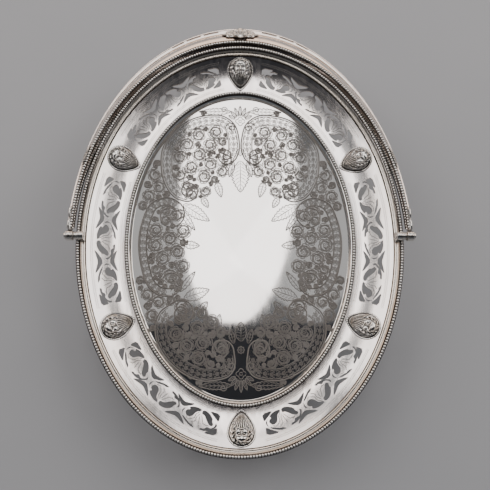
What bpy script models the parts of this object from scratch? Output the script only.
"""Oval footed serving tray of plated metal, with a pierced border, six masks and a swing handle.

The tray stands on z = 0.  X runs across its short side, through the two hinges, and Y along
its length.  The handle is folded down over the +Y end, which is its rest position.
"""
import math

import bmesh
import bpy
from mathutils import Vector

# ---- driving dimensions, in metres ----
RIM_HALF_WIDTH = 0.1165
RIM_HALF_LENGTH = 0.150
RIM_EDGE_HEIGHT = 0.0565
SHEET = 0.0012
GAP = 0.0003
STATIONS = 60

BORDER_WIDTH = 0.0333
BORDER_DROP = 0.011
BORDER_EDGE = 0.0003
REED_OUTER_INSET = 0.0025
REED_THICKNESS = 0.0008
PIERCED_OUTER = 0.0131
PIERCED_INNER = 0.0249

WIRE_RADIUS = 0.0011
WELL_WIRE_INSET = 0.03345
WELL_DROP = 0.0032
FLOOR_INSET = 0.0368
COVE_TOP = ((FLOOR_INSET, WELL_DROP), (0.0360, 0.0027), (0.0348, 0.0006))
COVE_UNDER = ((0.0338, 0.0018), (0.0350, 0.0039), (0.0362, WELL_DROP + SHEET))

MASK_COUNT = 6
MASK_INSET = 0.0165
MASK_HALF_WIDTH = 0.0105
MASK_OUTER_REACH = 0.0098
MASK_INNER_REACH = 0.0148
MASK_RELIEF = 0.0062
MASK_SHOULDER_ANGLE = math.radians(27.0)
MASK_TO_PANEL = 0.0155

FOOT_NECK_INSET = 0.049
FOOT_BASE_INSET = 0.039
FOOT_NECK_HEIGHT = 0.0285

PIVOT_ABOVE_WIRE = 0.0046
LUG_INNER_X = 0.1103
LUG_WEB_OUTER_X = 0.1139
LUG_OUTER_X = 0.1164
LUG_HALF_BREADTH = 0.0036
LUG_RADIUS = 0.0030
BARREL_RADIUS = 0.0035
PIN_RADIUS = 0.0012
PIN_HEAD_RADIUS = 0.0026
BARREL_INNER_X = 0.1176
BARREL_OUTER_X = 0.1223
HINGE_OUTER_X = 0.1240

HANDLE_EDGE_HALF_WIDTH = 0.1190
HANDLE_EDGE_REACH = 0.1535
HANDLE_CREST_HALF_WIDTH = 0.1219
HANDLE_CREST_REACH = 0.1695
HANDLE_HALF_BREADTH_ENDS = 0.0024
HANDLE_HALF_BREADTH_TOP = 0.0065
HANDLE_END_ANGLE = math.radians(4.0)
HANDLE_STATIONS = 40
HANDLE_SHEET = 0.0010
HANDLE_DROOP = math.radians(4.0)
GALLERY_START = 0.72
GALLERY_HALF_THICKNESS = 0.0008
SHOULDER_ORNAMENT_ANGLE = math.radians(21.5)
TOP_ORNAMENT_SPAN = math.radians(5.5)
LEAF_SPAN = math.radians(3.0)

SILVER = (0.80, 0.79, 0.77)
SHADED_SILVER = (0.66, 0.65, 0.63)
WARM_SILVER = (0.80, 0.76, 0.72)
STEEL = (0.56, 0.56, 0.57)

# ---- sizes that follow from them ----
HANDLE_OVERHANG = HANDLE_CREST_REACH * math.cos(HANDLE_DROOP) - RIM_HALF_LENGTH
TRAY_CENTRE_Y = -HANDLE_OVERHANG / 2.0
BORDER_INSETS = (BORDER_EDGE, 0.0115, 0.0190, 0.0265, BORDER_WIDTH)


def clear_scene():
    """Remove whatever the file holds."""
    for thing in list(bpy.data.objects):
        bpy.data.objects.remove(thing, do_unlink=True)


def metal(name, colour, roughness):
    """Return a metallic Principled material."""
    material = bpy.data.materials.new(name)
    material.use_nodes = True
    shader = material.node_tree.nodes["Principled BSDF"]
    shader.inputs["Base Color"].default_value = (*colour, 1.0)
    shader.inputs["Roughness"].default_value = roughness
    shader.inputs["Metallic"].default_value = 1.0
    return material


def place(name, mesh_bm, parent, colour=SILVER, roughness=0.2, smooth_angle=40.0):
    """Turn a bmesh into a named, smooth-shaded object under the given parent."""
    bmesh.ops.recalc_face_normals(mesh_bm, faces=mesh_bm.faces)
    mesh = bpy.data.meshes.new(name)
    mesh_bm.to_mesh(mesh)
    mesh_bm.free()
    mesh.shade_smooth()
    mesh.set_sharp_from_angle(angle=math.radians(smooth_angle))
    mesh.materials.append(metal(name, colour, roughness))
    thing = bpy.data.objects.new(name, mesh)
    bpy.context.scene.collection.objects.link(thing)
    thing.parent = parent
    return thing


def empty(name, location, parent=None):
    """Return an empty that carries a group of pieces."""
    carrier = bpy.data.objects.new(name, None)
    bpy.context.scene.collection.objects.link(carrier)
    carrier.parent = parent
    carrier.location = location
    return carrier


def cut(thing, cutter_bm):
    """Cut the solids of a bmesh out of an object, and keep the cutter as a hidden guide."""
    bmesh.ops.recalc_face_normals(cutter_bm, faces=cutter_bm.faces)
    mesh = bpy.data.meshes.new(thing.name + "_cutter")
    cutter_bm.to_mesh(mesh)
    cutter_bm.free()
    cutter = bpy.data.objects.new(thing.name + "_cutter", mesh)
    bpy.context.scene.collection.objects.link(cutter)
    cutter.parent = thing.parent
    cutter.hide_render = True
    cutter.display_type = "WIRE"
    modifier = thing.modifiers.new("cut", "BOOLEAN")
    modifier.operation = "DIFFERENCE"
    modifier.solver = "EXACT"
    modifier.object = cutter


def skin(mesh_bm, loops, closed_loop=False):
    """Bridge a row of point loops with quads; closed_loop joins the last loop to the first."""
    rows = [[mesh_bm.verts.new(point) for point in loop] for loop in loops]
    pairs = list(zip(rows, rows[1:]))
    if closed_loop:
        pairs.append((rows[-1], rows[0]))
    for first, second in pairs:
        count = len(first)
        for i in range(count):
            j = (i + 1) % count
            mesh_bm.faces.new((first[i], first[j], second[j], second[i]))
    return rows


def fan(mesh_bm, row, centre):
    """Close a row of vertices with triangles to a centre point."""
    middle = mesh_bm.verts.new(centre)
    for i, vertex in enumerate(row):
        mesh_bm.faces.new((vertex, row[(i + 1) % len(row)], middle))


def prism(mesh_bm, lower, upper):
    """Add the solid between two matching outlines."""
    rows = skin(mesh_bm, [lower, upper])
    mesh_bm.faces.new(list(reversed(rows[0])))
    mesh_bm.faces.new(rows[1])


def turned(profile, steps=12, bored=False, side=1.0):
    """Return a bmesh turned about the X axis from (x, radius) points."""
    mesh_bm = bmesh.new()
    loops = []
    for x, radius in profile:
        angles = [2.0 * math.pi * i / steps for i in range(steps)]
        loops.append([Vector((side * x, radius * math.cos(a), radius * math.sin(a))) for a in angles])
    rows = skin(mesh_bm, loops, closed_loop=bored)
    if not bored:
        fan(mesh_bm, rows[0], Vector((side * profile[0][0], 0.0, 0.0)))
        fan(mesh_bm, rows[-1], Vector((side * profile[-1][0], 0.0, 0.0)))
    return mesh_bm


# ---- the oval ----
def oval(angle, inset):
    """Return the (x, y) point that lies inset metres inside the rim at an ellipse angle."""
    x = RIM_HALF_WIDTH * math.cos(angle)
    y = RIM_HALF_LENGTH * math.sin(angle)
    normal = Vector((math.cos(angle) / RIM_HALF_WIDTH, math.sin(angle) / RIM_HALF_LENGTH)).normalized()
    return Vector((x, y)) - normal * inset


def station_angles():
    """Return the ellipse angles that every oval piece shares."""
    return [2.0 * math.pi * i / STATIONS for i in range(STATIONS)]


def oval_loop(inset, height):
    """Return one closed loop at a constant inset and height."""
    return [oval(angle, inset).to_3d() + Vector((0.0, 0.0, height)) for angle in station_angles()]


def oval_ring(profile):
    """Return a bmesh of a closed (inset, height) profile swept round the oval."""
    mesh_bm = bmesh.new()
    skin(mesh_bm, [oval_loop(inset, height) for inset, height in profile], closed_loop=True)
    return mesh_bm


def wire_profile(inset, height, radius=WIRE_RADIUS, sides=5):
    """Return the (inset, height) points of a round wire."""
    angles = [2.0 * math.pi * i / sides for i in range(sides)]
    return [(inset + radius * math.cos(a), height + radius * math.sin(a)) for a in angles]


def border_top_at_ring(inset):
    """Return the border's top height from the rule that shapes it."""
    share = 1.0 - inset / BORDER_WIDTH
    return RIM_EDGE_HEIGHT - BORDER_DROP * (1.0 - share * share)


def border_top(inset):
    """Return the border's top height, straight between its own rings."""
    for low, high in zip(BORDER_INSETS, BORDER_INSETS[1:]):
        if inset <= high:
            share = (inset - low) / (high - low)
            return border_top_at_ring(low) * (1.0 - share) + border_top_at_ring(high) * share
    return border_top_at_ring(BORDER_WIDTH)


def on_border(angle, inset, height):
    """Return a point at a height above the border's top face."""
    return oval(angle, inset).to_3d() + Vector((0.0, 0.0, border_top(inset) + height))


WIRE_HEIGHT = border_top(WIRE_RADIUS) + WIRE_RADIUS + GAP
FLOOR_HEIGHT = border_top(BORDER_WIDTH) - WELL_DROP
PIVOT_HEIGHT = WIRE_HEIGHT + PIVOT_ABOVE_WIRE


# ---- the pierced border ----
def arc_table(inset, steps=720):
    """Return matching lists of ellipse angle and length along the oval, from angle 0."""
    angles = [2.0 * math.pi * i / steps for i in range(steps + 1)]
    points = [oval(angle, inset) for angle in angles]
    lengths = [0.0]
    for first, second in zip(points, points[1:]):
        lengths.append(lengths[-1] + (second - first).length)
    return angles, lengths


PANEL_MIDDLE = (PIERCED_OUTER + PIERCED_INNER) / 2.0
ARC_ANGLES, ARC_LENGTHS = arc_table(PANEL_MIDDLE)


def interpolate(value, xs, ys):
    """Read y at a value of x from two rising lists."""
    for i in range(1, len(xs)):
        if value <= xs[i]:
            share = (value - xs[i - 1]) / (xs[i] - xs[i - 1])
            return ys[i - 1] + share * (ys[i] - ys[i - 1])
    return ys[-1]


def length_at(angle):
    """Return the length along the middle of the pierced band at an ellipse angle."""
    turns, rest = divmod(angle, 2.0 * math.pi)
    return turns * ARC_LENGTHS[-1] + interpolate(rest, ARC_ANGLES, ARC_LENGTHS)


def angle_at(length):
    """Return the ellipse angle at a length along the middle of the pierced band."""
    turns, rest = divmod(length, ARC_LENGTHS[-1])
    return turns * 2.0 * math.pi + interpolate(rest, ARC_LENGTHS, ARC_ANGLES)


def mask_angles():
    """Return the ellipse angles of the six masks, in order."""
    s = MASK_SHOULDER_ANGLE
    half = math.pi
    return [s, half / 2.0, half - s, half + s, 1.5 * half, 2.0 * half - s]


def strap_height(share, reach):
    """Return how far an interlaced strap stands from the panel's middle line."""
    return reach * abs(math.sin(3.0 * math.pi * share))


def loop_holes(start, length, half_height):
    """Return the two openings inside one lozenge loop, either side of its leaf."""
    web = 0.0009
    lean = 0.0016
    middle = start + length / 2.0
    holes = []
    for side in (-1.0, 1.0):
        outer = middle + side * (length / 2.0 - 0.0030)
        inner = middle + side * web
        knee = middle + side * (length / 4.0)
        top = half_height - 0.0016
        low_knee = 0.62 * top
        holes.append([
            (outer, 0.0), (knee, low_knee), (inner, top - 0.0004), (inner + side * lean, 0.0),
            (inner, -top + 0.0004), (knee, -low_knee),
        ])
    return holes


def wing_hole(start, end, crossing, half_height, side):
    """Return the opening between the panel's frame and the straps on one side of it."""
    top = side * half_height
    points = [(start, top), (end, top)]
    if crossing < end - 0.001:
        points.append((crossing + (end - crossing) * 0.45, side * half_height * 0.62))
    points.append((crossing, side * 0.0019))
    if crossing > start + 0.001:
        points.append((crossing - (crossing - start) * 0.45, side * half_height * 0.62))
    return points


def panel_holes(length, half_height):
    """Return the openings of one panel as outlines in (along, across) metres."""
    loop = length / 3.0
    holes = []
    for i in range(3):
        holes += loop_holes(i * loop, loop, half_height)
    reach = loop * 0.36
    for side in (-1.0, 1.0):
        holes.append(wing_hole(0.0, reach, 0.0, half_height, side))
        holes.append(wing_hole(loop - reach, loop + reach, loop, half_height, side))
        holes.append(wing_hole(2.0 * loop - reach, 2.0 * loop + reach, 2.0 * loop, half_height, side))
        holes.append(wing_hole(length - reach, length, length, half_height, side))
    return holes


def add_panel_cutters(mesh_bm, start_angle, end_angle):
    """Add upright cutters for one panel of the border."""
    start = length_at(start_angle) + MASK_TO_PANEL
    length = length_at(end_angle) - MASK_TO_PANEL - start
    half_height = (PIERCED_INNER - PIERCED_OUTER) / 2.0
    for outline in panel_holes(length, half_height):
        flat = [oval(angle_at(start + along), PANEL_MIDDLE - across) for along, across in outline]
        lower = [point.to_3d() + Vector((0.0, 0.0, 0.035)) for point in flat]
        upper = [point.to_3d() + Vector((0.0, 0.0, 0.065)) for point in flat]
        prism(mesh_bm, lower, upper)


def pierced_border(tray):
    """The sloping border sheet with its six pierced panels."""
    top = [(inset, border_top(inset)) for inset in BORDER_INSETS]
    under = [(inset, height - SHEET) for inset, height in reversed(top)]
    border = place("pierced_border", oval_ring(top + under), tray)
    cutters = bmesh.new()
    masks = mask_angles()
    for i, start in enumerate(masks):
        end = masks[(i + 1) % MASK_COUNT]
        if end < start:
            end += 2.0 * math.pi
        add_panel_cutters(cutters, start, end)
    cut(border, cutters)


def border_mask(name, tray, angle):
    """A raised pointed shield with a rounded head, lying on the border."""
    mesh_bm = bmesh.new()
    rings = ((1.0, GAP * 1.4), (1.0, 0.0014), (0.80, 0.0030), (0.62, 0.0050), (0.30, MASK_RELIEF))
    centre = length_at(angle)
    loops = []
    for size, height in rings:
        loop = []
        for i in range(12):
            turn = 2.0 * math.pi * i / 12
            across = MASK_HALF_WIDTH * size * math.sin(turn)
            reach = MASK_OUTER_REACH if math.cos(turn) > 0.0 else MASK_INNER_REACH
            outward = reach * size * math.cos(turn)
            if math.cos(turn) < 0.0:
                across *= 1.0 + 0.35 * math.cos(turn)
            loop.append(on_border(angle_at(centre + across), MASK_INSET - outward, height))
        loops.append(loop)
    rows = skin(mesh_bm, loops)
    fan(mesh_bm, rows[0], on_border(angle, MASK_INSET, rings[0][1]))
    fan(mesh_bm, rows[-1], on_border(angle, MASK_INSET, MASK_RELIEF + 0.0003))
    place(name, mesh_bm, tray, SILVER, 0.24, 50.0)


def border_trim(tray):
    """The beaded wires on the rim and the well, and the reeded strip inside the rim."""
    place("rim_bead_wire", oval_ring(wire_profile(WIRE_RADIUS, WIRE_HEIGHT)), tray)
    reed = [(REED_OUTER_INSET, GAP), (REED_OUTER_INSET, REED_THICKNESS), (0.0046, REED_THICKNESS),
            (0.0050, 0.0014), (0.0057, 0.0014), (0.0061, GAP)]
    place("rim_reed_strip", oval_ring([(i, border_top(i) + h) for i, h in reed]), tray)
    height = border_top(BORDER_WIDTH) + WIRE_RADIUS + GAP
    place("well_bead_wire", oval_ring(wire_profile(WELL_WIRE_INSET, height)), tray)


# ---- the well and the foot ----
def scaled_loop(share, height):
    """Return the floor's edge loop shrunk towards the middle."""
    return [Vector((p.x * share, p.y * share, height)) for p in oval_loop(FLOOR_INSET, height)]


def well_plate(tray):
    """The sunk oval plate: a short cove wall and a flat floor."""
    top = border_top(BORDER_WIDTH)
    outer = BORDER_WIDTH + GAP
    cove = [(inset, top - drop) for inset, drop in COVE_TOP] + [(outer, top)]
    under = [(outer, top - SHEET)] + [(inset, top - drop) for inset, drop in COVE_UNDER]
    loops = [scaled_loop(0.5, FLOOR_HEIGHT)]
    loops += [oval_loop(inset, height) for inset, height in cove + under]
    loops.append(scaled_loop(0.5, FLOOR_HEIGHT - SHEET))
    mesh_bm = bmesh.new()
    rows = skin(mesh_bm, loops)
    fan(mesh_bm, rows[0], Vector((0.0, 0.0, FLOOR_HEIGHT)))
    fan(mesh_bm, rows[-1], Vector((0.0, 0.0, FLOOR_HEIGHT - SHEET)))
    place("well_plate", mesh_bm, tray)


def foot(tray):
    """The foot: a neck ring under the well, a spreading skirt and its beaded wire."""
    neck_top = FLOOR_HEIGHT - SHEET - GAP
    neck = [(FOOT_NECK_INSET - 0.0022, neck_top), (FOOT_NECK_INSET - 0.0022, neck_top - 0.0012),
            (FOOT_NECK_INSET, neck_top - 0.0022), (FOOT_NECK_INSET, FOOT_NECK_HEIGHT + GAP),
            (FOOT_NECK_INSET + 0.0014, FOOT_NECK_HEIGHT + GAP), (FOOT_NECK_INSET + 0.0014, neck_top)]
    place("foot_collar", oval_ring(neck), tray, SHADED_SILVER, 0.28)
    knee = FOOT_BASE_INSET + 0.0030
    foot_inside = FOOT_BASE_INSET + 0.0035
    outside = [(FOOT_NECK_INSET - 0.0008, FOOT_NECK_HEIGHT), (FOOT_NECK_INSET - 0.0030, 0.0175),
               (knee, 0.0072), (FOOT_BASE_INSET, 0.0058), (FOOT_BASE_INSET, 0.0)]
    inside = [(foot_inside, 0.0), (foot_inside, 0.0052), (FOOT_NECK_INSET - 0.0012, 0.0165),
              (FOOT_NECK_INSET + 0.0010, FOOT_NECK_HEIGHT)]
    skirt = outside + inside
    place("foot_skirt", oval_ring(skirt), tray, SHADED_SILVER, 0.28)
    bead = wire_profile(FOOT_BASE_INSET - WIRE_RADIUS - GAP, 0.0030)
    place("foot_bead_wire", oval_ring(bead), tray, SHADED_SILVER, 0.28)


# ---- the hinges ----
def lug_outline(x, foot_height):
    """Return the lug's outline across the rim: a flat foot under a round boss."""
    points = [(-LUG_HALF_BREADTH, foot_height), (LUG_HALF_BREADTH, foot_height)]
    for i in range(9):
        turn = math.pi * i / 8
        points.append((LUG_RADIUS * math.cos(turn), PIVOT_HEIGHT + LUG_RADIUS * math.sin(turn)))
    return [Vector((x, y, z)) for y, z in points]


def hinge(side_name, side, tray, pivot):
    """One side's lug, pin and washer on the tray, and its barrel on the handle."""
    lug = bmesh.new()
    foot_height = border_top(REED_OUTER_INSET) + REED_THICKNESS + GAP
    faces = [lug_outline(side * x, foot_height) for x in (LUG_INNER_X, LUG_WEB_OUTER_X)]
    prism(lug, faces[0], faces[1])
    lug_piece = place("hinge_lug_" + side_name, lug, tray, SILVER, 0.22, 30.0)
    boss = [(LUG_WEB_OUTER_X + 0.0001, PIN_RADIUS + GAP), (LUG_WEB_OUTER_X + 0.0001, LUG_RADIUS - 0.0002),
            (LUG_OUTER_X, LUG_RADIUS - 0.0002), (LUG_OUTER_X, PIN_RADIUS + GAP)]
    cut_bore(lug_piece, side)
    place("hinge_collar_" + side_name, turned(boss, bored=True, side=side), tray).location.z = PIVOT_HEIGHT
    pin = [(LUG_INNER_X - 0.0003, PIN_RADIUS), (BARREL_OUTER_X + GAP, PIN_RADIUS),
           (BARREL_OUTER_X + GAP, PIN_HEAD_RADIUS), (HINGE_OUTER_X - 0.0006, PIN_HEAD_RADIUS),
           (HINGE_OUTER_X, PIN_HEAD_RADIUS * 0.7)]
    pin_piece = place("hinge_pin_" + side_name, turned(pin, side=side), tray, STEEL, 0.25)
    pin_piece.location.z = PIVOT_HEIGHT
    washer = [(LUG_OUTER_X + GAP, PIN_RADIUS + GAP), (LUG_OUTER_X + GAP, 0.0028),
              (BARREL_INNER_X - GAP, 0.0028), (BARREL_INNER_X - GAP, PIN_RADIUS + GAP)]
    washer_piece = place("hinge_washer_" + side_name, turned(washer, bored=True, side=side), tray)
    washer_piece.location.z = PIVOT_HEIGHT
    barrel = [(BARREL_INNER_X, PIN_RADIUS + GAP), (BARREL_INNER_X, BARREL_RADIUS),
              (BARREL_OUTER_X, BARREL_RADIUS), (BARREL_OUTER_X, PIN_RADIUS + GAP)]
    place("hinge_barrel_" + side_name, turned(barrel, bored=True, side=side), pivot, SILVER, 0.22)


def cut_bore(lug_piece, side):
    """Drill the pin's hole through a lug."""
    bore = [(LUG_INNER_X - 0.002, PIN_RADIUS + GAP), (LUG_WEB_OUTER_X + 0.002, PIN_RADIUS + GAP)]
    cutter = turned(bore, side=side)
    bmesh.ops.translate(cutter, vec=(0.0, 0.0, PIVOT_HEIGHT), verts=cutter.verts)
    cut(lug_piece, cutter)


# ---- the handle, modelled upright about its pivot ----
def arch_depth(angle):
    """Return the handle's depth in its own plane at an arch angle."""
    return (arch_edge(angle, HANDLE_CREST_HALF_WIDTH, HANDLE_CREST_REACH)
            - arch_edge(angle, HANDLE_EDGE_HALF_WIDTH, HANDLE_EDGE_REACH)).length


def arch_edge(angle, half_width, reach):
    """Return a point of a half-oval arch that stands on the pivot axis."""
    return Vector((half_width * math.cos(angle), 0.0, reach * math.sin(angle)))


def arch(angle, outward, sideways):
    """Return a point outward metres outside the handle's inner edge."""
    inner = arch_edge(angle, HANDLE_EDGE_HALF_WIDTH, HANDLE_EDGE_REACH)
    outer = arch_edge(angle, HANDLE_CREST_HALF_WIDTH, HANDLE_CREST_REACH)
    return inner + (outer - inner).normalized() * outward + Vector((0.0, sideways, 0.0))


def half_breadth(angle):
    """Return half the handle's breadth across its inner edges."""
    return HANDLE_HALF_BREADTH_ENDS + (HANDLE_HALF_BREADTH_TOP - HANDLE_HALF_BREADTH_ENDS) * math.sin(angle)


def arch_angles(start=HANDLE_END_ANGLE, end=math.pi - HANDLE_END_ANGLE, steps=HANDLE_STATIONS):
    """Return evenly spread arch angles."""
    return [start + (end - start) * i / steps for i in range(steps + 1)]


def swept(section, angles):
    """Return a bmesh of a section that changes along the arch, with closed ends."""
    mesh_bm = bmesh.new()
    rows = skin(mesh_bm, [section(angle) for angle in angles])
    mesh_bm.faces.new(list(reversed(rows[0])))
    mesh_bm.faces.new(rows[-1])
    return mesh_bm


def flank_start():
    """Return where the flanks begin, just outside the edge wires."""
    return WIRE_RADIUS + GAP


def flank_end(angle):
    """Return where the flanks meet under the gallery."""
    return arch_depth(angle) * GALLERY_START - GAP / 2.0


def strap_section(angle):
    """Return the strap's section: two flanks that meet at a ridge, open on the inside."""
    low = flank_start()
    high = flank_end(angle)
    breadth = half_breadth(angle)
    ridge = GALLERY_HALF_THICKNESS
    inner_high = max(low + 0.0003, high - HANDLE_SHEET)
    points = [(low, breadth), (high, ridge), (high, -ridge), (low, -breadth),
              (low, -breadth + HANDLE_SHEET), (inner_high, 0.0), (low, breadth - HANDLE_SHEET)]
    return [arch(angle, outward, sideways) for outward, sideways in points]


def gallery_section(angle):
    """Return the section of the crest gallery, which stands on the strap's ridge."""
    depth = arch_depth(angle)
    low = depth * GALLERY_START + GAP / 2.0
    half = GALLERY_HALF_THICKNESS
    return [arch(angle, o, s) for o, s in ((low, half), (depth, half), (depth, -half), (low, -half))]


def add_slot(mesh_bm, start, end):
    """Add the cutter of one long slot in the gallery."""
    angles = [start + (end - start) * share for share in (0.0, 0.5, 1.0)]
    outline = [(angle, 0.30) for angle in angles] + [(angles[2], 0.58), (angles[1], 0.66), (angles[0], 0.58)]
    sides = []
    for sideways in (-0.003, 0.003):
        loop = []
        for angle, share in outline:
            depth = arch_depth(angle)
            loop.append(arch(angle, depth * (GALLERY_START + (1.0 - GALLERY_START) * share), sideways))
        sides.append(loop)
    prism(mesh_bm, sides[0], sides[1])


def slot_angles():
    """Return the start and end angles of the gallery's slots, both sides of the top."""
    spans = [(98.0, 103.5), (104.6, 110.0), (111.0, 115.5), (146.0, 150.5), (151.8, 155.6), (161.0, 164.0)]
    spans += [(180.0 - end, 180.0 - start) for start, end in spans]
    return [(math.radians(start), math.radians(end)) for start, end in spans]


def flank_sideways(angle, outward):
    """Return how far the handle's outer skin stands from its middle plane."""
    low = flank_start()
    high = flank_end(angle)
    if outward >= high:
        return GALLERY_HALF_THICKNESS
    share = max(0.0, (outward - low) / (high - low))
    return half_breadth(angle) * (1.0 - share) + GALLERY_HALF_THICKNESS * share


def ornament(name, pivot, centre, half_span, side, relief):
    """A rounded cast ornament that lies on one flank of the handle."""
    mesh_bm = bmesh.new()
    loops = []
    for share, height in ((1.0, 0.0), (1.0, 0.35), (0.72, 0.85), (0.36, 1.0)):
        loop = []
        for i in range(12):
            turn = 2.0 * math.pi * i / 12
            angle = centre + half_span * share * math.cos(turn)
            depth = arch_depth(angle)
            outward = depth * (0.56 + 0.36 * share * math.sin(turn))
            skin_at = flank_sideways(angle, outward) + GAP * 2.0
            loop.append(arch(angle, outward, side * (skin_at + relief * height)))
        loops.append(loop)
    rows = skin(mesh_bm, loops)
    mesh_bm.faces.new(list(reversed(rows[0])))
    mesh_bm.faces.new(rows[-1])
    place(name, mesh_bm, pivot, SILVER, 0.24)


def end_leaf(name, pivot, side):
    """The leaf-shaped socket that joins the strap's end to its hinge barrel."""
    first = arch(HANDLE_END_ANGLE, 0.0, 0.0)
    tall = first.z - GAP * 2.0
    inner = BARREL_INNER_X + 0.0005
    mesh_bm = bmesh.new()
    loops = []
    for share, outer, breadth in ((0.0, 0.1216, 0.0022), (0.35, 0.1218, 0.0027), (1.0, 0.1219, 0.0030)):
        z = BARREL_RADIUS + GAP + (tall - BARREL_RADIUS - GAP) * share
        middle = (inner + outer) / 2.0
        half = (outer - inner) / 2.0
        loop = []
        for i in range(8):
            turn = 2.0 * math.pi * (i + 0.5) / 8
            loop.append(Vector((side * (middle + half * math.cos(turn)), breadth * math.sin(turn), z)))
        loops.append(loop)
    rows = skin(mesh_bm, loops)
    mesh_bm.faces.new(list(reversed(rows[0])))
    mesh_bm.faces.new(rows[-1])
    place(name, mesh_bm, pivot, SILVER, 0.24)


def edge_wire(name, pivot, side):
    """The beaded wire along one inner edge of the handle."""
    def section(angle):
        centre = side * (half_breadth(angle) - HANDLE_SHEET / 2.0)
        turns = [2.0 * math.pi * i / 5 for i in range(5)]
        return [arch(angle, WIRE_RADIUS * math.cos(t), centre + WIRE_RADIUS * math.sin(t)) for t in turns]
    place(name, swept(section, arch_angles()), pivot)


def handle(pivot):
    """The swing handle's strap, gallery, wires and ornaments."""
    place("handle_strap", swept(strap_section, arch_angles()), pivot, WARM_SILVER, 0.2)
    gallery = place("handle_gallery", swept(gallery_section, arch_angles()), pivot, SILVER, 0.22)
    slots = bmesh.new()
    for start, end in slot_angles():
        add_slot(slots, start, end)
    cut(gallery, slots)
    edge_wire("handle_bead_wire_front", pivot, -1.0)
    edge_wire("handle_bead_wire_rear", pivot, 1.0)
    left_shoulder = math.pi - SHOULDER_ORNAMENT_ANGLE
    for face, side in (("front", -1.0), ("rear", 1.0)):
        ornament("handle_top_cartouche_" + face, pivot, math.pi / 2.0, TOP_ORNAMENT_SPAN, side, 0.0022)
        ornament("handle_leaf_right_" + face, pivot, SHOULDER_ORNAMENT_ANGLE, LEAF_SPAN, side, 0.0014)
        ornament("handle_leaf_left_" + face, pivot, left_shoulder, LEAF_SPAN, side, 0.0014)
    end_leaf("handle_end_leaf_right", pivot, 1.0)
    end_leaf("handle_end_leaf_left", pivot, -1.0)


def main():
    """Build the tray, then its handle folded to the rest position."""
    clear_scene()
    tray = empty("tray_frame", (0.0, TRAY_CENTRE_Y, 0.0))
    pivot = empty("handle_pivot", (0.0, 0.0, PIVOT_HEIGHT), tray)
    pivot.rotation_euler.x = -(math.pi / 2.0 + HANDLE_DROOP)
    well_plate(tray)
    pierced_border(tray)
    border_trim(tray)
    for number, angle in enumerate(mask_angles(), start=1):
        border_mask("border_mask_%d" % number, tray, angle)
    foot(tray)
    hinge("right", 1.0, tray, pivot)
    hinge("left", -1.0, tray, pivot)
    handle(pivot)


main()
